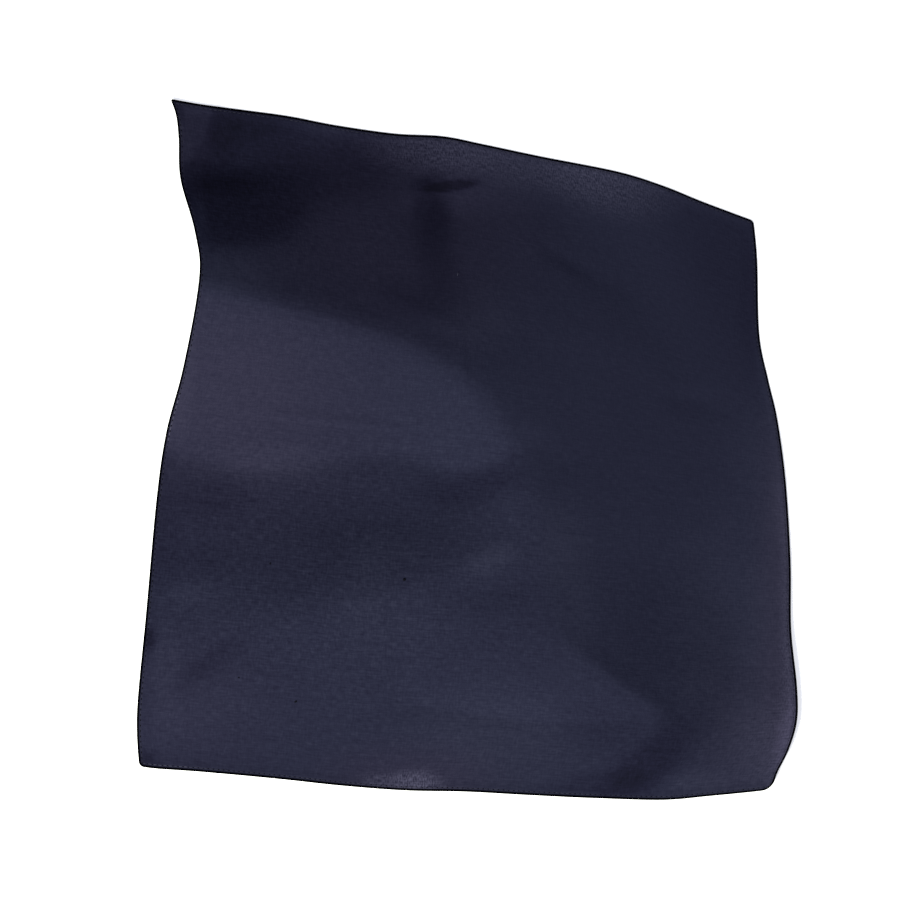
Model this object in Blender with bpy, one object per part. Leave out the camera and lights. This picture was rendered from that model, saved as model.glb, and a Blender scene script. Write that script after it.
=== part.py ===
"""Bandana: one square of plain-weave cotton with four narrow turned hems, laid loosely on a flat surface.

The cloth lies face up. One long fold runs from the left edge in an arc to the bottom edge, a lower one
crosses the left half below it, and the right edge lifts a little. Everything between them lies flat.
Metres, +Z up, +X to the right, +Y to the top edge. The origin is the centre of the footprint, on the surface.
"""

from collections import namedtuple

import bmesh
import bpy
import numpy as np

MM = 0.001

# Driving sizes of the cloth
SIDE = 0.559            # finished side of the square when it is smoothed flat (22 inches)
WALL = 0.001            # thickness of one layer of cloth, thicker than real so that it stays a solid
HEM_WIDTH = 0.0055      # width of the turned margin
SEAM_GAP = 0.0003       # clear space between a hem and the panel, and between two hems at a corner
CELLS = 38              # squares of the cloth grid along one side; the outer one is as wide as the hem

# Where the four corners lie, in millimetres from the middle of the footprint
CORNERS = {
    "bottom_left": (-272, -262),
    "bottom_right": (252, -281),
    "top_left": (-246, 291),
    "top_right": (237, 190),
}

# How far each edge bows outwards from the straight line between its corners.
# along: place on that line, from 0 to 1, left to right or bottom to top; out: millimetres, inwards if negative.
Bow = namedtuple("Bow", "along out")
EDGE_BOWS = {
    "left": [
        Bow(0.00, 0), Bow(0.08, 3.6), Bow(0.22, 0.3), Bow(0.40, -4), Bow(0.50, -9), Bow(0.60, -21.8),
        Bow(0.73, -33), Bow(0.80, -27.2), Bow(0.88, -10.4), Bow(0.94, -6.6), Bow(1.00, 0),
    ],
    "top": [
        Bow(0.00, 0), Bow(0.05, 0.7), Bow(0.12, 3.2), Bow(0.20, 6), Bow(0.28, 6.6), Bow(0.38, 9.8),
        Bow(0.46, 15.8), Bow(0.63, 16), Bow(0.76, 16.8), Bow(0.84, 12.5), Bow(0.91, 6.2), Bow(1.00, 0),
    ],
    "right": [
        Bow(0.00, 0), Bow(0.03, 5), Bow(0.07, 15), Bow(0.12, 22.6), Bow(0.18, 23.5), Bow(0.28, 20.3),
        Bow(0.40, 21.7), Bow(0.54, 19.8), Bow(0.65, 14.5), Bow(0.72, 8), Bow(0.80, 1.8), Bow(0.93, 2),
        Bow(1.00, 0),
    ],
    "bottom": [
        Bow(0.00, 0), Bow(0.03, 1.8), Bow(0.10, 3.3), Bow(0.22, 6.9), Bow(0.32, 10.6), Bow(0.42, 12.6),
        Bow(0.52, 11.6), Bow(0.62, 12.7), Bow(0.73, 13.4), Bow(0.83, 12.6), Bow(0.90, 8.2), Bow(0.96, 3.8),
        Bow(1.00, 0),
    ],
}

# The folds, each a row of sections along its crest. x, y: a point under the crest; height: of the crest,
# or of a trough's bottom if negative; left, right: how far the slope reaches to the left and to the right of
# the way the crest runs. crest: the radius it turns over. All in millimetres. soft_left, soft_right: how
# softly the slopes run out at their feet, as a share of their reach.
Section = namedtuple("Section", "x y height left right")
Fold = namedtuple("Fold", "crest soft_left soft_right sections")
FOLDS = {
    "main arc": Fold(crest=10, soft_left=0.2, soft_right=0.06, sections=[
        Section(-300, 159, 51, 150, 149), Section(-226, 134, 53, 145, 145), Section(-166, 118, 53, 145, 144),
        Section(-88, 99, 49, 150, 124), Section(-32, 78, 42, 165, 107), Section(12, 46, 33, 185, 80),
        Section(41, 2, 26, 200, 68), Section(58, -50, 22, 200, 96), Section(62, -106, 22, 190, 115),
        Section(79, -159, 25, 175, 124), Section(121, -195, 29, 135, 140), Section(151, -214, 29, 115, 150),
        Section(144, -236, 27, 90, 150), Section(124, -254, 23, 90, 160), Section(94, -274, 19, 90, 160),
        Section(60, -296, 15, 90, 160)]),
    "lower swell": Fold(crest=14, soft_left=0.12, soft_right=0.3, sections=[
        Section(-285, -240, 9, 107, 80), Section(-215, -175, 18, 115, 105), Section(-138, -134, 21, 105, 135),
        Section(-55, -112, 19, 89, 135), Section(4, -88, 11, 66, 100), Section(36, -62, 3, 50, 60)]),
    "right edge": Fold(crest=12, soft_left=0.25, soft_right=0.2, sections=[
        Section(262, 100, 0, 50, 50), Section(268, 20, 5, 62, 45), Section(270, -100, 7, 66, 40),
        Section(272, -200, 9, 72, 45), Section(268, -300, 12, 112, 60)]),
    "upper left hollow": Fold(crest=8, soft_left=0.3, soft_right=0.2, sections=[
        Section(-290, 232, -8, 45, 55), Section(-200, 236, -10, 40, 60), Section(-130, 232, -6, 40, 60),
        Section(-90, 215, 0, 40, 50)]),
    "upper trough": Fold(crest=6, soft_left=0.3, soft_right=0.3, sections=[
        Section(-14, 236, 0, 50, 26), Section(-11, 205, -8, 60, 30), Section(-12, 172, -6, 60, 27),
        Section(-8, 140, -3, 56, 24), Section(-5, 112, 0, 50, 22)]),
}
STEPS_PER_SECTION = 6       # straight steps between two sections of a crest
BLEND_ALONG = 14            # millimetres over which the sizes of neighbouring sections mix
REST_DEPTH = 7              # millimetres taken off the folds' sum, so that the cloth between them lies flat
REST_SOFTNESS = 3           # millimetres over which the cloth lifts off where it stops lying flat


def curve_through(rows, steps):
    """Points on a smooth curve (Catmull-Rom) through the rows of a table, with every column curved alike."""
    rows = np.array(rows, dtype=float)
    before = np.vstack([rows[:1], rows[:-2]])
    start, end = rows[:-1], rows[1:]
    after = np.vstack([rows[2:], rows[-1:]])
    points = []
    for t in np.arange(steps) / steps:
        points.append(0.5 * (2 * start + (end - before) * t
                             + (2 * before - 5 * start + 4 * end - after) * t ** 2
                             + (3 * start - before - 3 * end + after) * t ** 3))
    stacked = np.stack(points, axis=1).reshape(-1, rows.shape[1])
    return np.vstack([stacked, rows[-1:]])


def bow_out(side, along):
    """How far an edge bows out at each place, in millimetres, on a smooth curve through its table."""
    table = curve_through(EDGE_BOWS[side], 8)
    return np.interp(along, table[:, 0], table[:, 1])


def edge_point(start, end, side, outward, along):
    """Plan position on an edge. outward is +1 where outwards is to the left of the way from start to end."""
    start, end = np.array(CORNERS[start], float), np.array(CORNERS[end], float)
    run = end - start
    normal = outward * np.array([-run[1], run[0]]) / np.hypot(*run)
    return start + along[..., None] * run + bow_out(side, along)[..., None] * normal


def plan_position(across, up):
    """Where a point of the square lies in plan (a Coons patch between the four edges), in millimetres."""
    bottom = edge_point("bottom_left", "bottom_right", "bottom", -1, across)
    top = edge_point("top_left", "top_right", "top", 1, across)
    left = edge_point("bottom_left", "top_left", "left", 1, up)
    right = edge_point("bottom_right", "top_right", "right", -1, up)
    u, v = across[..., None], up[..., None]
    corners = {name: np.array(place, float) for name, place in CORNERS.items()}
    flat = ((1 - u) * (1 - v) * corners["bottom_left"] + u * (1 - v) * corners["bottom_right"]
            + (1 - u) * v * corners["top_left"] + u * v * corners["top_right"])
    return (1 - v) * bottom + v * top + (1 - u) * left + u * right - flat


def fold_height(plan, fold):
    """Height of one fold over plan points: two slopes that run down from a rounded, curved crest."""
    crest = curve_through(fold.sections, STEPS_PER_SECTION)
    start, step = crest[:-1], np.diff(crest, axis=0)
    offset = plan[..., None, :] - start[:, :2]
    along = (offset * step[:, :2]).sum(axis=-1) / (step[:, :2] ** 2).sum(axis=-1)
    along = np.clip(along, 0, 1)
    offset = offset - along[..., None] * step[:, :2]
    distance = np.hypot(offset[..., 0], offset[..., 1])
    on_left = step[:, 0] * offset[..., 1] - step[:, 1] * offset[..., 0] > 0
    nearest = distance.min(axis=-1)
    share = np.exp((nearest[..., None] - distance) / BLEND_ALONG)
    share /= share.sum(axis=-1, keepdims=True)
    sizes = start[:, 2:] + along[..., None] * step[:, 2:]
    height = (share * sizes[..., 0]).sum(axis=-1)
    reach = (share * np.where(on_left, sizes[..., 1], sizes[..., 2])).sum(axis=-1)
    soft = (share * np.where(on_left, fold.soft_left, fold.soft_right)).sum(axis=-1)
    run = np.sqrt(nearest ** 2 + fold.crest ** 2) - fold.crest
    slope = 1 - run / reach
    return height * 0.5 * (slope + np.sqrt(slope ** 2 + soft ** 2))


def margin_lift(across, up):
    """1 on the hems and 0 inside them: the panel steps up there by the thickness of the hem under it."""
    cell = 1 / CELLS
    inset = np.minimum(np.minimum(across, 1 - across), np.minimum(up, 1 - up))
    return np.interp(inset, [HEM_WIDTH / SIDE * 1.01, cell], [1, 0])


def underside(across, up):
    """Points of the panel's underside in metres. across and up run from 0 to 1 over the square."""
    plan = plan_position(across, up)
    folds = sum(fold_height(plan, fold) for fold in FOLDS.values()) - REST_DEPTH
    lifting_off = np.maximum(folds + REST_SOFTNESS, 0) ** 2 / (4 * REST_SOFTNESS)
    billow = np.where(folds > REST_SOFTNESS, folds, lifting_off) * MM
    lift = margin_lift(across, up) * (WALL + SEAM_GAP)
    return np.concatenate([plan * MM, (billow + lift)[..., None]], axis=-1)


def grid_line(place):
    """Place on the square of a grid line, where place 0 to 1 is even and the outer cells are a hem wide."""
    hem = HEM_WIDTH / SIDE
    return np.interp(place * CELLS, [0, 1, CELLS - 1, CELLS], [0, hem, 1 - hem, 1])


def layer(name, cells, place_vertices, material):
    """One closed layer of cloth: a grid on its lower face, extruded straight up by the wall."""
    mesh = bmesh.new()
    bmesh.ops.create_grid(mesh, x_segments=cells[0], y_segments=cells[1], size=0.5)
    places = np.array([vertex.co[:2] for vertex in mesh.verts]) + 0.5
    for vertex, point in zip(mesh.verts, place_vertices(places[:, 0], places[:, 1])):
        vertex.co = point
    raised = bmesh.ops.extrude_face_region(mesh, geom=mesh.faces[:])
    upper = [item for item in raised["geom"] if isinstance(item, bmesh.types.BMVert)]
    bmesh.ops.translate(mesh, verts=upper, vec=(0, 0, WALL))
    bmesh.ops.recalc_face_normals(mesh, faces=mesh.faces)
    data = bpy.data.meshes.new(name)
    mesh.to_mesh(data)
    mesh.free()
    data.shade_smooth()
    data.set_sharp_from_angle(angle=np.radians(60))
    data.materials.append(material)
    cloth = bpy.data.objects.new(name, data)
    bpy.context.scene.collection.objects.link(cloth)
    return cloth


def cloth_material(name, colour, roughness):
    """Matt woven cotton."""
    material = bpy.data.materials.new(name)
    material.use_nodes = True
    shader = material.node_tree.nodes["Principled BSDF"]
    shader.inputs["Base Color"].default_value = (*colour, 1)
    shader.inputs["Roughness"].default_value = roughness
    shader.inputs["Metallic"].default_value = 0
    return material


for old in list(bpy.data.objects):
    bpy.data.objects.remove(old, do_unlink=True)

navy_lawn = cloth_material("navy cotton lawn", (0.022, 0.023, 0.045), 0.9)
navy_hem = cloth_material("navy cotton hem", (0.012, 0.012, 0.026), 0.9)

# The outline's own middle, which goes to the origin
grid_places = grid_line(np.linspace(0, 1, CELLS + 1))
outline = underside(*np.meshgrid(grid_places, grid_places)).reshape(-1, 3)
middle = (outline.min(axis=0) + outline.max(axis=0)) / 2 * (1, 1, 0)


# The panel: the whole square
def panel_points(across, up):
    return underside(grid_line(across), grid_line(up)) - middle


layer("panel", (CELLS, CELLS), panel_points, navy_lawn)


# The hems: strips made from the panel's own border points and moved down. The top and bottom hems run the
# full width; the left and right hems stop a seam gap short of them.
hem_share = HEM_WIDTH / SIDE
butt = hem_share + SEAM_GAP / SIDE
drop = np.array([0, 0, WALL + SEAM_GAP])


def full_run(place):
    return grid_line(place)


def run_between(place):
    inner = 1 + place * (CELLS - 2)
    return np.clip(grid_line(inner / CELLS), butt, 1 - butt)


HEMS = {
    "hem_left": (False, 0, run_between),
    "hem_right": (False, 1 - hem_share, run_between),
    "hem_bottom": (True, 0, full_run),
    "hem_top": (True, 1 - hem_share, full_run),
}
for name, (lengthways_is_across, offset, run) in HEMS.items():
    def hem_points(across, up):
        if lengthways_is_across:
            return underside(run(across), offset + up * hem_share) - middle - drop
        return underside(offset + across * hem_share, run(up)) - middle - drop

    long_cells = CELLS if run is full_run else CELLS - 2
    cells = (long_cells, 1) if lengthways_is_across else (1, long_cells)
    layer(name, cells, hem_points, navy_hem)
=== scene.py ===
import math
from collections import namedtuple

import bmesh
import bpy
import numpy as np
from mathutils import Matrix, Vector, noise


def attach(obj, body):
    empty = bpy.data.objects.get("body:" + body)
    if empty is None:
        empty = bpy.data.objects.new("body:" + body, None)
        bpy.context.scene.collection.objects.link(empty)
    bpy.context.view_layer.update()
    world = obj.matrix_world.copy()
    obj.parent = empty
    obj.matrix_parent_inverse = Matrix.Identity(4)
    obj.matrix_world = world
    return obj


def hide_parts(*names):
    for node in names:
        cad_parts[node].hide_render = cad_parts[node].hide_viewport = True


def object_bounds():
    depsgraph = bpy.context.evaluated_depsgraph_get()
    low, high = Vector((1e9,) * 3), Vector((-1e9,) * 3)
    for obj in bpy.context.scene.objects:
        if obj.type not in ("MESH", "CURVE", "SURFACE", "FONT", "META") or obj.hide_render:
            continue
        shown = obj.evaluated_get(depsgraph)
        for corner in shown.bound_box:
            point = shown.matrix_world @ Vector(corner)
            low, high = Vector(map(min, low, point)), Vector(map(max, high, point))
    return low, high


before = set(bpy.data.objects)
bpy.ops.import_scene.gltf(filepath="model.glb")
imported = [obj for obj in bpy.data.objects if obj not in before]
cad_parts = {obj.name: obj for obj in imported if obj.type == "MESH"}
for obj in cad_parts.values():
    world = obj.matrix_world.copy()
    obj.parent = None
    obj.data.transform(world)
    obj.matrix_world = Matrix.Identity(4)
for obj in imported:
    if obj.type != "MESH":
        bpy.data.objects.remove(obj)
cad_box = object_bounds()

MM = 0.001

# The camera hangs over the middle of the cloth and looks straight down, so that the lens sees the whole
# square laid open with a margin of surface round it. The lens is long, so the raised folds are hardly drawn
# larger than the rest.
VIEW_WIDTH = 0.7621
CAMERA_HEIGHT = 4.5
SENSOR_WIDTH = 36               # millimetres
VIEW_MIDDLE = Vector((-6 * MM, -9 * MM, 0))     # from the middle of the cloth's footprint
camera_data = bpy.data.cameras.new("overhead")
camera_data.sensor_width = SENSOR_WIDTH
camera_data.lens = SENSOR_WIDTH * CAMERA_HEIGHT / VIEW_WIDTH
camera = bpy.data.objects.new("overhead", camera_data)
bpy.context.scene.collection.objects.link(camera)
footprint_middle = (cad_box[0] + cad_box[1]) / 2
camera.location = footprint_middle + VIEW_MIDDLE
camera.location.z = CAMERA_HEIGHT
bpy.context.scene.camera = camera


# ---------------------------------------------------------------------------------------------------------
# The panel: one square of fine cotton lawn, cut, hemmed and laid down loosely, face up. Its four corners lie
# where they fell, its edges bow between them, and the slack stands up in a long arc, a low swell and a
# lifted right edge.
SIDE = 0.559                # finished side of the square when it is smoothed flat, 22 inches
CLOTH_THICKNESS = 0.35 * MM
HEM_THICKNESS = 0.5 * MM    # the two turned layers under the margin, pressed
SEAM_GAP = 0.1 * MM
HEM_WIDTH = 5.0             # millimetres

CORNERS = {
    "bottom_left": (-272, -262),
    "bottom_right": (252, -281),
    "top_left": (-246, 291),
    "top_right": (237, 190),
}
CORNER_RADII = {"bottom_left": 4.5, "bottom_right": 9, "top_left": 2.5, "top_right": 3.5}

# along: place on the straight line between the corners, from 0 to 1; out: bow outwards in millimetres
Bow = namedtuple("Bow", "along out")
EDGE_BOWS = {
    "left": [
        Bow(0.00, 0), Bow(0.08, 3.6), Bow(0.22, 0.3), Bow(0.40, -4), Bow(0.50, -9.6), Bow(0.60, -22.4),
        Bow(0.73, -33), Bow(0.80, -27.2), Bow(0.88, -12), Bow(0.94, -8.6), Bow(0.975, -5.5), Bow(1.00, 0),
    ],
    "top": [
        Bow(0.00, 0), Bow(0.05, 0.7), Bow(0.12, 3.2), Bow(0.20, 6), Bow(0.28, 6.6), Bow(0.38, 9.8),
        Bow(0.46, 15.8), Bow(0.53, 16.2), Bow(0.63, 16.1), Bow(0.76, 16.8), Bow(0.84, 13), Bow(0.91, 6.8),
        Bow(1.00, 0),
    ],
    "right": [
        Bow(0.00, 0), Bow(0.03, 5), Bow(0.07, 15), Bow(0.12, 22.6), Bow(0.18, 23.5), Bow(0.28, 20.3),
        Bow(0.40, 21.7), Bow(0.54, 19.8), Bow(0.65, 14.5), Bow(0.72, 8), Bow(0.80, 1.8), Bow(0.93, 2),
        Bow(1.00, 0),
    ],
    "bottom": [
        Bow(0.00, 0), Bow(0.03, 1.4), Bow(0.10, 2.7), Bow(0.22, 6.2), Bow(0.32, 9.9), Bow(0.42, 11.9),
        Bow(0.52, 10.9), Bow(0.62, 11.6), Bow(0.73, 12), Bow(0.83, 11.6), Bow(0.90, 7.4), Bow(0.96, 3.2),
        Bow(1.00, 0),
    ],
}

# Each fold is a row of sections along its crest. x, y: a point under the crest; height: of the crest; left,
# right: how far its slopes reach, to the left and to the right of the way the crest runs. All in millimetres.
# A negative height is a trough. crest: the radius it turns over; soft_left, soft_right: how softly the slopes
# run out at their feet, as a share of their reach.
Section = namedtuple("Section", "x y height left right")
Fold = namedtuple("Fold", "crest soft_left soft_right sections")
FOLDS = {
    "main arc": Fold(crest=10, soft_left=0.2, soft_right=0.06, sections=[
        Section(-300, 159, 51, 150, 149), Section(-226, 134, 53, 145, 145), Section(-166, 118, 53, 145, 144),
        Section(-88, 99, 49, 150, 124), Section(-32, 78, 42, 165, 107), Section(12, 46, 33, 185, 80),
        Section(41, 2, 26, 200, 68), Section(58, -50, 22, 200, 96), Section(62, -106, 22, 190, 115),
        Section(79, -159, 25, 175, 124), Section(121, -195, 29, 135, 140), Section(151, -214, 29, 115, 150),
        Section(144, -236, 27, 90, 150), Section(124, -254, 23, 90, 160), Section(94, -274, 19, 90, 160),
        Section(60, -296, 15, 90, 160)]),
    "lower swell": Fold(crest=14, soft_left=0.12, soft_right=0.3, sections=[
        Section(-285, -240, 9, 107, 80), Section(-215, -175, 18, 115, 105), Section(-138, -134, 21, 105, 135),
        Section(-55, -112, 19, 89, 135), Section(4, -88, 11, 66, 100), Section(36, -62, 3, 50, 60)]),
    "right edge": Fold(crest=12, soft_left=0.25, soft_right=0.2, sections=[
        Section(262, 100, 0, 50, 50), Section(268, 20, 5, 62, 45), Section(270, -100, 7, 66, 40),
        Section(272, -200, 9, 72, 45), Section(268, -300, 12, 112, 60)]),
    "upper left hollow": Fold(crest=8, soft_left=0.3, soft_right=0.2, sections=[
        Section(-290, 232, -8, 45, 55), Section(-200, 236, -10, 40, 60), Section(-130, 232, -6, 40, 60),
        Section(-90, 215, 0, 40, 50)]),
    "upper trough": Fold(crest=6, soft_left=0.3, soft_right=0.3, sections=[
        Section(-14, 236, 0, 50, 26), Section(-11, 205, -8, 60, 30), Section(-12, 172, -6, 60, 27),
        Section(-8, 140, -3, 56, 24), Section(-5, 112, 0, 50, 22)]),
}
BLEND_ALONG = 14            # millimetres over which the sizes of neighbouring sections mix
REST_DEPTH = 7              # taken off the folds' sum, so that the cloth between them lies flat
REST_SOFTNESS = 3           # how softly the cloth lifts off where it stops lying flat

# Small folds and pressed-in creases that lie on the big ones, sharp at the crest and soft at the feet
CREASES = {
    "corner tuck": Fold(0.8, 0.2, 0.4, [
        Section(-204, 290, 0.8, 4, 14), Section(-209, 270, 2, 4, 20), Section(-215, 250, 2, 4, 20),
        Section(-229, 230, 0, 5, 12)]),
    "short tuck": Fold(1, 0.2, 0.2, [
        Section(-46, 212, 0, 6, 10), Section(-30, 221, 2.4, 7, 13), Section(-8, 226, 2.4, 7, 13),
        Section(8, 228, 0, 5, 9)]),
    "tuck under the arc": Fold(2, 0.3, 0.3, [
        Section(-90, 137, 0, 20, 14), Section(-55, 124, 1, 24, 14), Section(-18, 106, 1.2, 24, 12),
        Section(0, 98, 0, 12, 8)]),
    "shoulder of the arc": Fold(6, 0.4, 0.4, [
        Section(-260, 160, 2, 70, 20), Section(-196, 139, 2.2, 66, 19), Section(-140, 125, 1.4, 50, 17),
        Section(-88, 110, 0.6, 30, 14), Section(-40, 90, 0, 16, 12)]),
    "slanting dip": Fold(2, 0.3, 0.3, [
        Section(68, 166, 0, 12, 8), Section(88, 154, -1.1, 14, 8), Section(108, 141, 0, 12, 8)]),
    "small arc": Fold(3, 0.3, 0.3, [
        Section(174, 43, 0, 9, 9), Section(190, 41, -1.5, 10, 11), Section(206, 39, -1.5, 10, 11),
        Section(222, 32, 0, 9, 9)]),
    "right diagonal": Fold(1, 0.3, 0.3, [
        Section(168, -84, 0, 8, 8), Section(190, -68, 0.5, 10, 9), Section(212, -52, 0, 8, 8)]),
    "right lay line": Fold(0.8, 0.2, 0.2, [
        Section(228, -26, 0, 4, 4), Section(248, -27, 0.9, 5, 5), Section(270, -27, 0.9, 5, 5)]),
    "pressed line": Fold(0.6, 0.2, 0.2, [
        Section(-188, 35, 0, 4, 4), Section(-150, 30, 0.75, 4, 5), Section(-95, 23, 0.8, 4, 5),
        Section(-32, 16, 0, 4, 4)]),
    "upper pressed line": Fold(0.6, 0.2, 0.2, [
        Section(-120, 52, 0, 4, 4), Section(-80, 44, 0.4, 4, 5), Section(-38, 38, 0, 4, 4)]),
    "lower pressed line": Fold(0.6, 0.2, 0.2, [
        Section(-196, -181, 0, 4, 4), Section(-166, -187, 0.6, 4, 5), Section(-134, -194, 0, 4, 4)]),
    "lobe crest": Fold(1.5, 0.3, 0.3, [
        Section(72, -152, 0, 10, 16), Section(104, -175, 1, 12, 24), Section(138, -200, 1.2, 12, 26),
        Section(160, -214, 0.6, 10, 16)]),
    "lobe side": Fold(10, 0.4, 0.4, [
        Section(-34, -130, 0, 24, 24), Section(-32, -175, -0.7, 34, 30), Section(-30, -225, -0.6, 38, 30),
        Section(-34, -270, 0, 24, 24)]),
    "foot of the bright slope": Fold(3, 0.3, 0.3, [
        Section(-74, -24, 0, 10, 20), Section(-30, -22, -2.2, 12, 30), Section(4, -18, -3.4, 12, 34),
        Section(30, -8, -3.4, 12, 30), Section(50, 6, 0, 10, 18)]),
    "small lobe": Fold(3, 0.3, 0.3, [
        Section(-6, -118, 0, 14, 16), Section(20, -116, -2, 26, 16), Section(48, -106, -2.4, 26, 16),
        Section(66, -84, 0, 14, 12)]),
    "lower left dip": Fold(4, 0.3, 0.3, [
        Section(-250, -196, 0, 14, 14), Section(-230, -180, -1.6, 20, 20), Section(-204, -163, -1.4, 20, 20),
        Section(-184, -150, 0, 12, 12)]),
    "band dip": Fold(5, 0.3, 0.3, [
        Section(-150, -60, 0, 16, 16), Section(-95, -70, -0.4, 26, 22), Section(-50, -82, -0.3, 22, 22),
        Section(-25, -98, 0, 14, 14)]),
}
# Soft unevenness of washed cotton: wave lengths and heights in millimetres
Ripple = namedtuple("Ripple", "length height seed")
RIPPLES = [Ripple(95, 1.1, 3.1), Ripple(38, 0.42, 11.7), Ripple(15, 0.1, 23.3)]


BOW_STEPS = 8               # straight steps from one row of an edge's table to the next
CREST_STEPS = 6             # and of a fold's


def curve_through(rows, steps):
    """Points on a smooth curve (Catmull-Rom) through the rows of a table, with every column curved alike."""
    rows = np.array(rows, dtype=float)
    before = np.vstack([rows[:1], rows[:-2]])
    start, end = rows[:-1], rows[1:]
    after = np.vstack([rows[2:], rows[-1:]])
    points = []
    for t in np.arange(steps) / steps:
        points.append(0.5 * (2 * start + (end - before) * t
                             + (2 * before - 5 * start + 4 * end - after) * t ** 2
                             + (3 * start - before - 3 * end + after) * t ** 3))
    stacked = np.stack(points, axis=1).reshape(-1, rows.shape[1])
    return np.vstack([stacked, rows[-1:]])


def edge_point(start, end, side, outward, along):
    """Plan position on an edge. outward is +1 where outwards is to the left of the way from start to end."""
    start, end = np.array(CORNERS[start], float), np.array(CORNERS[end], float)
    table = curve_through(EDGE_BOWS[side], BOW_STEPS)
    bow = np.interp(along, table[:, 0], table[:, 1])
    run = end - start
    normal = outward * np.array([-run[1], run[0]]) / np.hypot(*run)
    return start + along[..., None] * run + bow[..., None] * normal


def plan_position(across, up):
    """Where a point of the square lies in plan (a Coons patch between the four edges), in millimetres."""
    bottom = edge_point("bottom_left", "bottom_right", "bottom", -1, across)
    top = edge_point("top_left", "top_right", "top", 1, across)
    left = edge_point("bottom_left", "top_left", "left", 1, up)
    right = edge_point("bottom_right", "top_right", "right", -1, up)
    u, v = across[..., None], up[..., None]
    corners = {name: np.array(place, float) for name, place in CORNERS.items()}
    flat = ((1 - u) * (1 - v) * corners["bottom_left"] + u * (1 - v) * corners["bottom_right"]
            + (1 - u) * v * corners["top_left"] + u * v * corners["top_right"])
    return (1 - v) * bottom + v * top + (1 - u) * left + u * right - flat


def crest_places(plan, fold):
    """Distance of plan points from a fold's crest, how far each is on its left (0 to 1), and the sizes."""
    crest = curve_through(fold.sections, CREST_STEPS)
    start, step = crest[:-1], np.diff(crest, axis=0)
    offset = plan[..., None, :] - start[:, :2]
    along = (offset * step[:, :2]).sum(axis=-1) / (step[:, :2] ** 2).sum(axis=-1)
    along = np.clip(along, 0, 1)
    offset = offset - along[..., None] * step[:, :2]
    distance = np.hypot(offset[..., 0], offset[..., 1])
    on_left = step[:, 0] * offset[..., 1] - step[:, 1] * offset[..., 0] > 0
    share = np.exp((distance.min(axis=-1, keepdims=True) - distance) / BLEND_ALONG)
    share /= share.sum(axis=-1, keepdims=True)
    sizes = start[:, 2:] + along[..., None] * step[:, 2:]
    height = (share * sizes[..., 0]).sum(axis=-1)
    reach = (share * np.where(on_left, sizes[..., 1], sizes[..., 2])).sum(axis=-1)
    leftness = (share * on_left).sum(axis=-1)
    return distance.min(axis=-1), leftness, height, reach


def fold_height(plan, fold):
    """Height of one fold over plan points: two slopes that run down from a rounded, curved crest."""
    distance, leftness, height, reach = crest_places(plan, fold)
    soft = leftness * fold.soft_left + (1 - leftness) * fold.soft_right
    run = np.sqrt(distance ** 2 + fold.crest ** 2) - fold.crest
    slope = 1 - run / reach
    return height * 0.5 * (slope + np.sqrt(slope ** 2 + soft ** 2))


def corner_rounded(across, up):
    """Moves the places near each corner in, so that the outline turns it on a small radius."""
    across, up = across.copy(), up.copy()
    for name, radius in CORNER_RADII.items():
        r = radius * MM / SIDE
        flip_across, flip_up = name.endswith("right"), name.startswith("top")
        a = 1 - across if flip_across else across
        b = 1 - up if flip_up else up
        near = (a < r) & (b < r)
        da, db = r - a[near], r - b[near]
        pull = np.maximum(da, db) / np.maximum(np.hypot(da, db), 1e-9)
        a[near], b[near] = r - da * pull, r - db * pull
        across = 1 - a if flip_across else a
        up = 1 - b if flip_up else b
    return across, up


# The grid is fine over the margin and even inside it. inset: distance from the outline; rise: how far the
# turned layers lift the cloth's face there, both in millimetres. It rolls over the fold at the outline, dips
# where the stitches pull it down and runs off the hem's inner edge.
HemLine = namedtuple("HemLine", "inset rise")
HEM_PROFILE = [
    HemLine(0, 0.3), HemLine(0.3, 0.5), HemLine(1.1, 0.59), HemLine(2.05, 0.6), HemLine(2.7, 0.57),
    HemLine(3.3, 0.46), HemLine(4.0, 0.56), HemLine(5.0, 0.48), HemLine(6.8, 0.24),
    HemLine(9, 0.06), HemLine(12, 0),
]
ROLL_SHADE_WIDTH = 2.1            # millimetres from the outline that take the painted shade of the roll, where the cloth turns down
INNER_CELLS = 200
MARGIN_CELLS = len(HEM_PROFILE) - 1
CLOTH_CELLS = INNER_CELLS + 2 * MARGIN_CELLS
margin_places = [line.inset * MM / SIDE for line in HEM_PROFILE]


def cloth_line(place):
    """Place on the square of a grid line, for places from 0 to 1 that are even over the grid's cells."""
    inner = np.linspace(margin_places[-1], 1 - margin_places[-1], INNER_CELLS + 1)
    lines = np.concatenate([margin_places[:-1], inner, 1 - np.array(margin_places[-2::-1])])
    return np.interp(place * CLOTH_CELLS, np.arange(CLOTH_CELLS + 1), lines)


def inset_of(across, up):
    """Distance from the nearest edge in millimetres, measured on the cloth."""
    return np.minimum(np.minimum(across, 1 - across), np.minimum(up, 1 - up)) * SIDE / MM


def lying_height(across, up):
    """How high the cloth's underside lies over the surface, in millimetres, without its hem."""
    plan = plan_position(across, up)
    folds = sum(fold_height(plan, fold) for fold in FOLDS.values()) - REST_DEPTH
    creases = sum(fold_height(plan, fold) for fold in CREASES.values())
    waves = np.zeros(folds.shape)
    for ripple in RIPPLES:
        at = plan / ripple.length
        flat = [noise.noise((x, y, ripple.seed)) for x, y in at.reshape(-1, 2)]
        waves += ripple.height * np.array(flat).reshape(folds.shape)
    height = folds + creases + waves
    settled = np.maximum(height + REST_SOFTNESS, 0) ** 2 / (4 * REST_SOFTNESS)
    return np.where(height > REST_SOFTNESS, height, settled)


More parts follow.
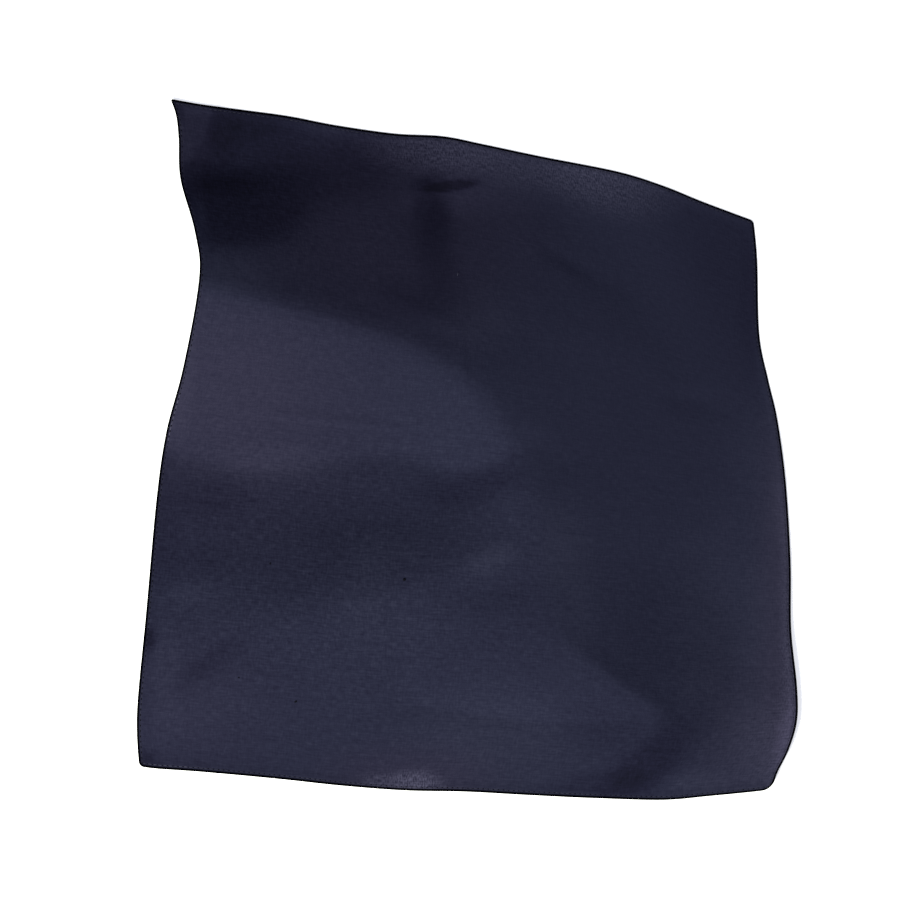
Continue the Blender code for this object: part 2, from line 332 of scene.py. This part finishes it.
def cloth_face(across, up):
    """Points of the cloth's upper face, in metres."""
    plan = plan_position(across, up) * MM
    insets, rises = zip(*HEM_PROFILE)
    rise = np.interp(inset_of(across, up), insets, rises)
    height = (lying_height(across, up) + rise) * MM + CLOTH_THICKNESS
    return np.concatenate([plan, height[..., None]], axis=-1)


def place_grid(name, cells, points_of, flat_of):
    """A grid of cloth moved to its place, with a UV map in metres over the flat cloth."""
    grid = bmesh.new()
    bmesh.ops.create_grid(grid, x_segments=cells[0], y_segments=cells[1], size=0.5)
    places = np.array([vertex.co[:2] for vertex in grid.verts]) + 0.5
    for vertex, point in zip(grid.verts, points_of(places[:, 0], places[:, 1])):
        vertex.co = point
    data = bpy.data.meshes.new(name)
    grid.to_mesh(data)
    grid.free()
    flat = flat_of(places[:, 0], places[:, 1])
    corners = np.empty(len(data.loops), dtype=np.int32)
    data.loops.foreach_get("vertex_index", corners)
    uv = data.uv_layers.new(name="flat cloth")
    uv.data.foreach_set("uv", flat[corners].astype(np.float32).ravel())
    data.shade_smooth()
    piece = bpy.data.objects.new(name, data)
    bpy.context.scene.collection.objects.link(piece)
    return piece, places


# The middle of the laid cloth's outline goes to the middle of the frame's footprint
PLAN_SAMPLES = 400
evenly = np.linspace(0, 1, PLAN_SAMPLES)
sampled = plan_position(*np.meshgrid(evenly, evenly)) * MM
plan_middle = (sampled.min(axis=(0, 1)) + sampled.max(axis=(0, 1))) / 2
to_origin = np.array([*(np.array(footprint_middle)[:2] - plan_middle), 0])


def panel_points(across, up):
    return cloth_face(*corner_rounded(cloth_line(across), cloth_line(up))) + to_origin


def flat_places(across, up):
    return np.stack([cloth_line(across), cloth_line(up)], axis=-1) * SIDE


panel, panel_places = place_grid("panel_cloth", (CLOTH_CELLS, CLOTH_CELLS), panel_points, flat_places)
wall = panel.modifiers.new("cloth thickness", "SOLIDIFY")
wall.thickness = CLOTH_THICKNESS
wall.offset = -1
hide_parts("panel")


# Soft clouds darken or pale the navy. They are partly uneven dye, and partly painted shade and painted light
# that stand in for the shading of the folds, such as the darker cloth beyond the main arc's crest. x, y: a
# cloud's middle in plan; across, up: its half sizes, in millimetres too; turn: degrees; edge: how softly it
# ends, as a share of its
# size; amount: how much darker or paler, as a share of the way from the deepest dye to the palest. beyond:
# 1 where only the cloth beyond the main arc's crest takes it, -1 where only this side does, 0 for both.
Cloud = namedtuple("Cloud", "x y across up turn edge amount beyond")
DYE_AND_PAINTED_SHADE_CLOUDS = [
    Cloud(-189, 197, 58, 31, 6, 0.3, -0.23, 1),
    Cloud(-204, 220, 36, 9, -6, 0.5, -0.12, 1),
    Cloud(-190, 258, 54, 34, 0, 0.4, -0.17, 1),
    Cloud(-150, 252, 58, 24, -6, 0.4, -0.1, 1),
    Cloud(-108, 230, 44, 24, -4, 0.6, -0.2, 1),
    Cloud(-54, 254, 44, 20, -6, 0.6, -0.16, 1),
    Cloud(-200, 266, 12, 24, -14, 0.7, -0.16, 1),
    Cloud(-176, 268, 16, 12, 0, 0.7, -0.1, 1),
    Cloud(-231, 265, 14, 38, -24, 0.14, 0.11, 1),
    Cloud(-221, 222, 9, 20, 4, 0.7, -0.14, 1),
    Cloud(-237, 254, 8, 14, 8, 0.7, 0.1, 1),
    Cloud(-240, 284, 8, 9, 0, 0.7, -0.16, 1),
    Cloud(-223, 188, 8, 28, 8, 0.7, 0.2, 1),
    Cloud(-30, 202, 13, 26, 0, 0.7, -0.15, 1),
    # painted shadow under the short tuck
    Cloud(-14, 219, 24, 4.7, 7, 0.3, -0.4, 1),
    Cloud(-208, 150, 40, 20, -10, 0.9, 0.14, 1),
    Cloud(8, 106, 24, 22, 0, 0.9, 0.1, 1),
    Cloud(-124, 158, 56, 28, -10, 0.8, 0.08, 1),
    Cloud(-54, 120, 22, 9, -26, 0.8, -0.1, 1),
    Cloud(24, -240, 56, 34, 0, 0.8, 0.1, -1),
    Cloud(112, -275, 38, 10, 6, 0.6, -0.15, 0),
    Cloud(188, -276, 26, 10, 0, 0.8, 0.14, 0),
    Cloud(146, -262, 26, 18, 20, 0.8, -0.08, 0),
    Cloud(175, 98, 26, 50, 20, 0.9, 0.05, 1),
    Cloud(84, 104, 66, 56, 0, 0.9, 0.03, 1),
    Cloud(218, 150, 50, 80, 0, 0.9, -0.12, 1),
    Cloud(243, 138, 14, 66, -4, 0.8, -0.1, 1),
    Cloud(252, 8, 24, 50, -6, 0.9, 0.08, 1),
    Cloud(264, -48, 12, 30, -3, 0.8, 0.12, 0),
    Cloud(264, -140, 26, 140, -3, 0.8, 0.19, 0),
    Cloud(266, -232, 9, 36, -14, 0.7, 0.24, 0),
    Cloud(240, -245, 34, 40, 0, 0.7, 0.08, 0),
    Cloud(208, -160, 34, 80, 0, 0.9, 0.12, 1),
    Cloud(152, -256, 50, 19, 42, 0.6, -0.2, 1),
    Cloud(66, -76, 22, 34, 0, 0.8, 0.08, 1),
    Cloud(90, -112, 16, 50, 0, 0.9, 0.08, 1),
    Cloud(38, -14, 20, 12, 20, 0.8, -0.1, -1),
    Cloud(-4, -32, 40, 14, 8, 0.8, -0.15, -1),
    Cloud(30, -140, 56, 36, -20, 0.8, -0.06, -1),
    Cloud(122, -228, 36, 26, -30, 0.8, -0.1, -1),
    Cloud(60, -210, 50, 40, 0, 0.8, -0.03, -1),
    Cloud(18, -91, 22, 11, 24, 0.8, 0.17, -1),
    Cloud(-158, -13, 42, 14, 0, 0.8, 0.12, -1),
    Cloud(-150, -74, 130, 50, 6, 0.4, -0.05, -1),
    Cloud(-72, -85, 24, 15, 0, 0.8, 0.1, -1),
    Cloud(-84, -124, 22, 32, 0, 0.8, 0.08, -1),
    Cloud(-20, -178, 30, 20, 0, 0.8, -0.05, -1),
    Cloud(-234, -119, 28, 9, 0, 0.8, 0.09, -1),
    Cloud(-220, -90, 18, 14, 0, 0.8, -0.06, -1),
    Cloud(-214, -42, 28, 18, 0, 0.8, -0.12, -1),
    Cloud(-253, -74, 16, 76, -3, 0.8, -0.12, -1),
    Cloud(-264, -156, 6, 9, 0, 0.6, -0.3, 0),
    Cloud(-190, -215, 96, 70, 0, 0.6, -0.06, -1),
    Cloud(-210, -173, 26, 9, 32, 0.7, -0.1, -1),
    Cloud(-214, -214, 34, 17, 14, 0.6, 0.05, -1),
    Cloud(-251, -180, 12, 40, 0, 0.8, 0.1, -1),
    Cloud(-225, -257, 50, 8, -4, 0.8, -0.04, -1),
    Cloud(-267, -257, 10, 8, 0, 0.8, -0.2, 0),
    Cloud(-200, 60, 80, 60, 0, 0.7, 0.08, -1),
    Cloud(-232, 100, 9, 110, -6, 0.8, 0.14, 0),
]
# Here the dye has turned a little to purple; elsewhere it is a clean navy
PURPLE_CLOUDS = [
    Cloud(-200, 40, 110, 90, 0, 0.9, 1, -1),
    Cloud(-60, 180, 110, 80, 0, 0.6, 1, 1),
    Cloud(244, -240, 50, 60, 0, 0.8, 0.5, 0),
    Cloud(-230, 256, 30, 46, 0, 0.8, 0.8, 1),
    Cloud(266, -100, 22, 130, 0, 0.8, 0.8, 0),
    Cloud(-50, -272, 60, 24, 0, 0.8, 1, 0),
    Cloud(-230, -210, 60, 60, 0, 0.9, 0.5, -1),
]
# Some yarns are more uneven than others, and take the dye more unevenly: 1 on the whole, less or more here
UNEVEN_CLOUDS = [
    Cloud(-130, -100, 150, 90, 0, 0.8, 0.5, -1),
    Cloud(150, 90, 150, 180, 0, 0.9, -0.5, 1),
    Cloud(-182, 200, 60, 40, 0, 0.6, 0.5, 1),
    Cloud(-130, 50, 160, 60, 0, 0.6, -0.2, -1),
]
# Painted light: along the edges, paler runs between the threads stand for light showing through the thin lawn
PAINTED_SEE_THROUGH_LIGHT = [
    Cloud(-53, -276, 33, 8, -3, 0.5, 0.27, 0),
    Cloud(-42, -274, 17, 10, 0, 0.5, 0.23, 0),
    Cloud(-30, 248, 42, 16, -4, 0.8, 0.23, 0),
    Cloud(60, 237, 62, 18, -8, 0.8, 0.19, 0),
    Cloud(120, 219, 40, 20, -14, 0.8, 0.24, 0),
    Cloud(275, -130, 12, 112, -2, 0.8, 0.36, 0),
    Cloud(256, -250, 26, 36, 0, 0.9, 0.12, 0),
]


CREST_FADE = 12             # millimetres across the crest over which a cloud that stops at it fades


def cloud_sum(plan, clouds):
    """The amounts of all clouds at plan points in millimetres, each fading out over its soft edge."""
    distance, leftness = crest_places(plan, FOLDS["main arc"])[:2]
    from_crest = distance * (2 * leftness - 1)
    total = np.zeros(distance.shape)
    for cloud in clouds:
        turn = math.radians(cloud.turn)
        x, y = plan[..., 0] - cloud.x, plan[..., 1] - cloud.y
        a = (x * math.cos(turn) + y * math.sin(turn)) / cloud.across
        b = (y * math.cos(turn) - x * math.sin(turn)) / cloud.up
        share = np.clip((1 + cloud.edge - np.hypot(a, b)) / (2 * cloud.edge), 0, 1)
        share = share ** 2 * (3 - 2 * share)
        if cloud.beyond:
            share *= np.clip(0.5 + cloud.beyond * from_crest / CREST_FADE, 0, 1)
        total += cloud.amount * share
    return total


def keep_at_points(piece, name, values):
    """Keeps one number at each vertex of a piece for its material."""
    kept = piece.data.attributes.new(name, "FLOAT", "POINT")
    kept.data.foreach_set("value", np.asarray(values, dtype=np.float32))


MEAN_DYE = 0.49             # where the cloth without clouds stands between the deepest dye and the palest
panel_flat = cloth_line(panel_places[:, 0]), cloth_line(panel_places[:, 1])
panel_plan = plan_position(*panel_flat)
# The clouds' sum is painted shade and painted light of the folds, together with the uneven dye
keep_at_points(panel, "dye", MEAN_DYE + cloud_sum(panel_plan, DYE_AND_PAINTED_SHADE_CLOUDS))
keep_at_points(panel, "purple", np.clip(cloud_sum(panel_plan, PURPLE_CLOUDS), 0, 1))
keep_at_points(panel, "unevenness", 1 + cloud_sum(panel_plan, UNEVEN_CLOUDS))
# painted light showing through the thin lawn along the edges
keep_at_points(panel, "painted see-through light", np.clip(cloud_sum(panel_plan, PAINTED_SEE_THROUGH_LIGHT), 0, 1))


def linear(hex_colour):
    """A hex sRGB colour as linear RGBA."""
    channels = [int(hex_colour[i:i + 2], 16) / 255 for i in (1, 3, 5)]
    return [c / 12.92 if c <= 0.04045 else ((c + 0.055) / 1.055) ** 2.4 for c in channels] + [1]


def add_node(tree, kind, settings=(), values=(), links=()):
    """Adds a node with its settings, constant socket values and links from other nodes' outputs."""
    node = tree.nodes.new(kind)
    for name, value in dict(settings).items():
        setattr(node, name, value)
    for socket, value in dict(values).items():
        node.inputs[socket].default_value = value
    for socket, output in dict(links).items():
        tree.links.new(output, node.inputs[socket])
    return node


def thread_noise(tree, flat, width, length, detail):
    """Noise drawn out along one run of threads: its size across the cloth and up it, in metres."""
    stretched = add_node(tree, "ShaderNodeMapping", {}, {"Scale": (1 / width, 1 / length, 1)},
                         {"Vector": flat.outputs["UV"]})
    return add_node(tree, "ShaderNodeTexNoise", {}, {"Scale": 1, "Detail": detail, "Roughness": 0.6},
                    {"Vector": stretched.outputs["Vector"]})


def woven_cotton(name, dyes, see_through_colour, shine):
    """Matt plain-weave cotton: uneven yarns both ways, a cloudy dye that also carries painted shade and
    painted light, and painted light showing through between its threads.
    """
    material = bpy.data.materials.new(name)
    material.use_nodes = True
    tree = material.node_tree
    shader = tree.nodes["Principled BSDF"]
    shader.inputs["Roughness"].default_value = 0.9
    shader.inputs["Specular IOR Level"].default_value = shine
    shader.inputs["Sheen Weight"].default_value = shine / 2
    shader.inputs["Sheen Roughness"].default_value = 0.5
    shader.inputs["Sheen Tint"].default_value = linear("#a9a6c8")

    flat = add_node(tree, "ShaderNodeUVMap", {"uv_map": "flat cloth"})
    # Warp yarns run up the cloth and weft yarns across it. The real yarns are about 0.35 mm apart; they are
    # drawn about four times coarser, so that they still show from where the whole cloth is seen.
    warp = thread_noise(tree, flat, 1.6 * MM, 6 * MM, 1)
    weft = thread_noise(tree, flat, 8 * MM, 1.5 * MM, 1)
    slubs = thread_noise(tree, flat, 70 * MM, 2.2 * MM, 1)
    mottle = thread_noise(tree, flat, 7 * MM, 6 * MM, 3)

    # The dye's depth: from the clouds, which carry painted shade and painted light as well as dye, and more
    # or less of it in each yarn
    shares = ((warp, 0.3), (weft, 0.34), (slubs, 0.13), (mottle, 0.22))
    mean = sum(share for yarns, share in shares) / 2
    uneven = add_node(tree, "ShaderNodeMath", {"operation": "MULTIPLY_ADD"}, {1: shares[0][1], 2: -mean},
                      {0: warp.outputs["Fac"]})
    for yarns, share in shares[1:]:
        uneven = add_node(tree, "ShaderNodeMath", {"operation": "MULTIPLY_ADD"}, {1: share},
                          {0: yarns.outputs["Fac"], 2: uneven.outputs["Value"]})
    unevenness = add_node(tree, "ShaderNodeAttribute", {"attribute_name": "unevenness"})
    dye = add_node(tree, "ShaderNodeAttribute", {"attribute_name": "dye"})
    depth = add_node(tree, "ShaderNodeMath", {"operation": "MULTIPLY_ADD"}, {},
                     {0: uneven.outputs["Value"], 1: unevenness.outputs["Fac"], 2: dye.outputs["Fac"]})
    ramp = add_node(tree, "ShaderNodeValToRGB", {}, {}, {"Fac": depth.outputs["Value"]})
    steps = ramp.color_ramp.elements
    while len(steps) < len(dyes):
        steps.new(0.5)
    for index, colour in enumerate(dyes):
        steps[index].position = index / (len(dyes) - 1)
        steps[index].color = linear(colour)
    purple = add_node(tree, "ShaderNodeAttribute", {"attribute_name": "purple"})
    tinted = add_node(tree, "ShaderNodeMixRGB", {"blend_type": "MULTIPLY"},
                      {"Color2": (1.09, 0.955, 0.97, 1)},
                      {"Fac": purple.outputs["Fac"], "Color1": ramp.outputs["Color"]})

    # Painted light showing through the thin lawn: paler bits in short runs that follow the threads
    see_through_mask = add_node(tree, "ShaderNodeAttribute", {"attribute_name": "painted see-through light"})
    parted = thread_noise(tree, flat, 1.1 * MM, 2.8 * MM, 0)
    both_ways = add_node(tree, "ShaderNodeMath", {"operation": "MULTIPLY_ADD"}, {1: 0.6},
                         {0: weft.outputs["Fac"], 2: parted.outputs["Fac"]})
    open_threads = add_node(tree, "ShaderNodeMapRange", {},
                            {"From Min": 0.54, "From Max": 1.14, "To Min": 0.0, "To Max": 1.0},
                            {"Value": both_ways.outputs["Value"]})
    shown = add_node(tree, "ShaderNodeMath", {"operation": "MULTIPLY"}, {},
                     {0: see_through_mask.outputs["Fac"], 1: open_threads.outputs["Result"]})
    paler = add_node(tree, "ShaderNodeMixRGB", {}, {"Color2": linear(see_through_colour)},
                     {"Fac": shown.outputs["Value"], "Color1": tinted.outputs["Color"]})
    tree.links.new(paler.outputs["Color"], shader.inputs["Base Color"])

    yarn_height = add_node(tree, "ShaderNodeMath", {"operation": "ADD"}, {},
                           {0: warp.outputs["Fac"], 1: weft.outputs["Fac"]})
    relief = add_node(tree, "ShaderNodeBump", {}, {"Strength": 0.4, "Distance": 0.25 * MM},
                      {"Height": yarn_height.outputs["Value"]})
    tree.links.new(relief.outputs["Normal"], shader.inputs["Normal"])
    return material


# Navy cotton lawn: from the deepest dye to the palest
lawn = woven_cotton(
    "navy cotton lawn", ["#070715", "#101021", "#191a2b", "#232435", "#303044"], see_through_colour="#514f66",
    shine=0.07,
)
panel.data.materials.append(lawn)
# Painted shade: round the outline, where the lawn rolls over its fold, a near-black copy of the lawn stands
# for the shade on the roll
roll_shade_lawn = woven_cotton(
    "navy lawn, painted shade of the roll", ["#010102", "#020204", "#030305", "#050508", "#08080c"], see_through_colour="#0c0c12",
    shine=0,
)
panel.data.materials.append(roll_shade_lawn)
cell_corners = np.array([list(cell.vertices) for cell in panel.data.polygons])
in_roll_shade = inset_of(*panel_flat)[cell_corners].max(axis=1) < ROLL_SHADE_WIDTH
panel.data.polygons.foreach_set("material_index", in_roll_shade.astype(np.int32))
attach(panel, "root")


# ---------------------------------------------------------------------------------------------------------
# The hems: the margin of the same lawn, turned under twice on each side and pressed, so that two more layers
# lie under the edge. They show only from the side and from below, where the cloth stands up.
HEM_SETBACK = 0.15 * MM     # from the outline to the turned layers, so that the cloth's own fold hides them
HEM_CELLS_ALONG, HEM_CELLS_ACROSS = 200, 4
hem_lawn = woven_cotton(
    "navy lawn, turned under", ["#09090f", "#0f1019", "#161722", "#1d1d2a", "#262634"], see_through_colour="#3a394a",
    shine=0.05,
)


def hem_strip(name, lengthways_is_across, far_side):
    """One hem's turned layers, along the bottom or top edge if lengthways_is_across, else a side."""
    hem_share = HEM_WIDTH * MM / SIDE
    start = HEM_SETBACK / SIDE
    corner_stop = 0 if lengthways_is_across else hem_share + SEAM_GAP / SIDE

    def strip_place(along, inwards):
        along = corner_stop + along * (1 - 2 * corner_stop)
        inwards = start + inwards * (hem_share - start)
        if far_side:
            along, inwards = 1 - along, 1 - inwards
        return (along, inwards) if lengthways_is_across else (inwards, along)

    def strip_points(across, up):
        along, inwards = (across, up) if lengthways_is_across else (up, across)
        a, b = strip_place(along, inwards)
        a, b = corner_rounded(a, b)
        plan = plan_position(a, b) * MM
        height = lying_height(a, b) * MM + HEM_THICKNESS
        return np.concatenate([plan, height[..., None]], axis=-1) + to_origin

    def strip_flat(across, up):
        along, inwards = (across, up) if lengthways_is_across else (up, across)
        return np.stack(strip_place(along, inwards), axis=-1) * SIDE

    cells = (HEM_CELLS_ALONG, HEM_CELLS_ACROSS)
    cells = cells if lengthways_is_across else cells[::-1]
    strip, places = place_grid(name + "_turning", cells, strip_points, strip_flat)
    layer = strip.modifiers.new("turned layers", "SOLIDIFY")
    layer.thickness = HEM_THICKNESS
    layer.offset = -1
    keep_at_points(strip, "dye", np.full(len(places), MEAN_DYE))
    keep_at_points(strip, "unevenness", np.ones(len(places)))
    strip.data.materials.append(hem_lawn)
    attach(strip, "root")
    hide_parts(name)
    return strip


hems = [
    hem_strip("hem_left", False, False), hem_strip("hem_right", False, True),
    hem_strip("hem_bottom", True, False), hem_strip("hem_top", True, True),
]


# ---------------------------------------------------------------------------------------------------------
# The hem stitching: one row of navy cotton thread along every edge, sewn by machine through all the layers.
# Each stitch is a short padded length of thread between two needle holes, pulled a little into the cloth.
STITCH_INSET = 3.3          # millimetres
STITCH_PITCH = 4.5
STITCH_SHARE = 0.72         # of the pitch that shows as thread, between two holes
THREAD_WIDTH = 0.42 * MM
STITCH_LIFT = 0.05 * MM     # of a stitch's middle off the cloth
HOLE_LIFT = 0.07 * MM       # of the shaded ring of a hole, over the dip that the stitches pull
# hole: radius of the near-black disc of painted shade at each needle hole, in millimetres, larger where the
# thread was pulled tighter
Row = namedtuple("Row", "side hole")
ROWS = [Row("left", 0.78), Row("bottom", 0.55), Row("right", 0.34), Row("top", 0.3)]
# Painted highlight: two runs of thread are painted pale, as glints where they catch the light: their first
# and last places on the row, from 0 to 1
GLINTING_RUNS = {"left": (0.5, 0.57), "bottom": (0, 0.09)}
STITCH_PALENESS, GLINT = 0.05, 0.25    # how pale a middling stitch is, and how much paler the painted glint makes it


def on_row(side, along, lift):
    """Places on a row of stitches, lifted off the cloth's face, each with axes along the row and out."""
    step_along, step_inwards = 0.001, 0.003

    def face(a, inset):
        b = np.full(len(a), inset)
        across, up = (b, a) if side in ("left", "right") else (a, b)
        across = 1 - across if side == "right" else across
        up = 1 - up if side == "top" else up
        return cloth_face(across, up) + to_origin

    inset = STITCH_INSET * MM / SIDE
    middle = face(along, inset)
    forward = face(along + step_along, inset) - middle
    inward = face(along, inset + step_inwards) - face(along, inset - step_inwards)
    places = []
    for point, run, across_row in zip(middle, forward, inward):
        run = Vector(run).normalized()
        out = run.cross(Vector(across_row)).normalized()
        out = out if out.z > 0 else -out
        axes = Matrix((run, out.cross(run), out)).transposed().to_4x4()
        places.append(Matrix.Translation(Vector(point) + out * lift) @ axes)
    return places


def finished(name, mesh, material):
    """A riding object made from a bmesh."""
    data = bpy.data.meshes.new(name)
    mesh.to_mesh(data)
    mesh.free()
    data.shade_smooth()
    data.materials.append(material)
    piece = bpy.data.objects.new(name, data)
    bpy.context.scene.collection.objects.link(piece)
    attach(piece, "root")
    return piece


# Soft-twisted sewing thread, the plies seen as fine slanting lines
thread = bpy.data.materials.new("navy cotton thread")
thread.use_nodes = True
thread_tree = thread.node_tree
thread_shader = thread_tree.nodes["Principled BSDF"]
thread_shader.inputs["Roughness"].default_value = 0.75
thread_shader.inputs["Specular IOR Level"].default_value = 0.15
thread_place = add_node(thread_tree, "ShaderNodeTexCoord")
plies = add_node(thread_tree, "ShaderNodeTexWave", {"bands_direction": "DIAGONAL"}, {"Scale": 900},
                 {"Vector": thread_place.outputs["Object"]})
# The pale end of the thread's colour is painted glint on two runs, with a little random paleness elsewhere
yarn_paleness_and_glint = add_node(thread_tree, "ShaderNodeAttribute", {"attribute_name": "paleness_and_glint"})
thread_colour = add_node(thread_tree, "ShaderNodeMixRGB", {},
                         {"Color1": linear("#191a26"), "Color2": linear("#8f8ca6")},
                         {"Fac": yarn_paleness_and_glint.outputs["Fac"]})
thread_tree.links.new(thread_colour.outputs["Color"], thread_shader.inputs["Base Color"])
ply_relief = add_node(thread_tree, "ShaderNodeBump", {}, {"Strength": 0.5, "Distance": 0.05 * MM},
                      {"Height": plies.outputs["Fac"]})
thread_tree.links.new(ply_relief.outputs["Normal"], thread_shader.inputs["Normal"])


def speckled_matt(name, colour, darker):
    """A matt fibre finish, mottled between two colours."""
    material = bpy.data.materials.new(name)
    material.use_nodes = True
    tree = material.node_tree
    shader = tree.nodes["Principled BSDF"]
    shader.inputs["Roughness"].default_value = 0.95
    shader.inputs["Specular IOR Level"].default_value = 0.05
    place = add_node(tree, "ShaderNodeTexCoord")
    fibres = add_node(tree, "ShaderNodeTexNoise", {}, {"Scale": 900, "Detail": 2},
                      {"Vector": place.outputs["Object"]})
    colours = add_node(tree, "ShaderNodeMixRGB", {}, {"Color1": linear(darker), "Color2": linear(colour)},
                       {"Fac": fibres.outputs["Fac"]})
    tree.links.new(colours.outputs["Color"], shader.inputs["Base Color"])
    return material


# Painted shade: each needle hole is a flat near-black disc that stands for the shade down the funnel where
# the thread goes in
shaded_hole = speckled_matt("shaded needle hole", "#0a0a10", "#020203")
stitch_size = Matrix.Diagonal((STITCH_SHARE * STITCH_PITCH * MM, THREAD_WIDTH, THREAD_WIDTH, 1))
lengthways = Matrix.Rotation(math.pi / 2, 4, "Y")
for row in ROWS:
    stitches, holes, paleness_and_glint = bmesh.new(), bmesh.new(), []
    count = round((SIDE / MM - 2 * STITCH_INSET) / STITCH_PITCH)
    ends = np.linspace(STITCH_INSET * MM / SIDE, 1 - STITCH_INSET * MM / SIDE, count + 1)
    middles = (ends[:-1] + ends[1:]) / 2
    for number, place in enumerate(on_row(row.side, middles, STITCH_LIFT)):
        made = bmesh.ops.create_uvsphere(stitches, u_segments=6, v_segments=4, radius=0.5,
                                         matrix=place @ stitch_size @ lengthways)
        chance = 0.5 + noise.noise((number * 0.37, row.hole * 50, 7.7))
        # Painted glint on the runs where the thread would catch the light
        first_glinting, last_glinting = GLINTING_RUNS.get(row.side, (1, 1))
        glinting = first_glinting < middles[number] < last_glinting
        light = chance * (STITCH_PALENESS + GLINT * glinting)
        paleness_and_glint += [light] * len(made["verts"])
    for place in on_row(row.side, ends, HOLE_LIFT):
        bmesh.ops.create_circle(holes, cap_ends=True, segments=8, radius=row.hole * MM, matrix=place)
    stitching = finished("stitches_" + row.side, stitches, thread)
    keep_at_points(stitching, "paleness_and_glint", paleness_and_glint)
    finished("needle_hole_shade_" + row.side, holes, shaded_hole)


# ---------------------------------------------------------------------------------------------------------
# Neps: tangled knots of fibre spun into the yarn, which took more dye, and one loose pale fibre on the face.
# x, y: places in plan, in millimetres as the sizes; turn: degrees.
Nep = namedtuple("Nep", "x y width length turn")
NEPS = [
    Nep(-52, -107, 2.3, 2.7, 20), Nep(-163, -94, 1.6, 2.2, 70), Nep(-142, -208, 1.9, 2.8, 40),
    Nep(-189, -188, 1.5, 1.7, 0),
]
LOOSE_FIBRE = Nep(-8, 145, 0.6, 3.4, 75)
face_points = np.array([vertex.co for vertex in panel.data.vertices])


def lay_on_face(mesh, nep, thickness):
    """Adds a flattened tuft of fibre at the cloth's nearest point."""
    there = np.array([nep.x, nep.y]) * MM + to_origin[:2]
    nearest = face_points[np.hypot(*(face_points[:, :2] - there).T).argmin()]
    turned = Matrix.Translation(Vector((*there, nearest[2] + thickness / 4)))
    turned = turned @ Matrix.Rotation(math.radians(nep.turn), 4, "Z")
    size = Matrix.Diagonal((nep.length * MM, nep.width * MM, thickness, 1))
    bmesh.ops.create_icosphere(mesh, subdivisions=2, radius=0.5, matrix=turned @ size)


neps = bmesh.new()
for nep in NEPS:
    lay_on_face(neps, nep, 0.5 * MM)
finished("neps", neps, speckled_matt("deep navy nep", "#0c0c14", "#040408"))
fibre = bmesh.new()
lay_on_face(fibre, LOOSE_FIBRE, 0.3 * MM)
finished("loose_fibre", fibre, speckled_matt("undyed fibre", "#3c3b4a", "#2c2b38"))


# ---------------------------------------------------------------------------------------------------------
# The surface that the cloth lies on, and the light: one soft lamp in front on the left, so that the slopes
# turned to it are pale and those beyond the crests are dark, and a weak even light from all round.
SURFACE_HALF_SIZE = 4
floor_mesh = bmesh.new()
bmesh.ops.create_grid(floor_mesh, x_segments=1, y_segments=1, size=SURFACE_HALF_SIZE)
floor_data = bpy.data.meshes.new("surface")
floor_mesh.to_mesh(floor_data)
floor_mesh.free()
floor = bpy.data.objects.new("surface", floor_data)
bpy.context.scene.collection.objects.link(floor)
white_board = speckled_matt("matt white board, lit from below", "#f6f6f6", "#f2f2f2")
board_shader = white_board.node_tree.nodes["Principled BSDF"]
board_shader.inputs["Emission Color"].default_value = (1, 1, 1, 1)
board_shader.inputs["Emission Strength"].default_value = 0.6
floor_data.materials.append(white_board)

KEY_DISTANCE = 2.2
KEY_AZIMUTH, KEY_ELEVATION = math.radians(235), math.radians(34)
key_data = bpy.data.lights.new("soft key", "AREA")
key_data.shape = "DISK"
key_data.size = 1.1
key_data.energy = 128
key_data.color = (1.0, 1.02, 0.87)
key = bpy.data.objects.new("soft key", key_data)
bpy.context.scene.collection.objects.link(key)
towards_key = Vector((
    math.cos(KEY_AZIMUTH) * math.cos(KEY_ELEVATION),
    math.sin(KEY_AZIMUTH) * math.cos(KEY_ELEVATION),
    math.sin(KEY_ELEVATION),
))
key.location = towards_key * KEY_DISTANCE
key.rotation_euler = towards_key.to_track_quat("Z", "Y").to_euler()

world = bpy.data.worlds.new("even light")
world.use_nodes = True
world.node_tree.nodes["Background"].inputs["Color"].default_value = (0.85, 0.92, 1.21, 1)
world.node_tree.nodes["Background"].inputs["Strength"].default_value = 0.32
bpy.context.scene.world = world
bpy.context.scene.view_settings.view_transform = "Standard"
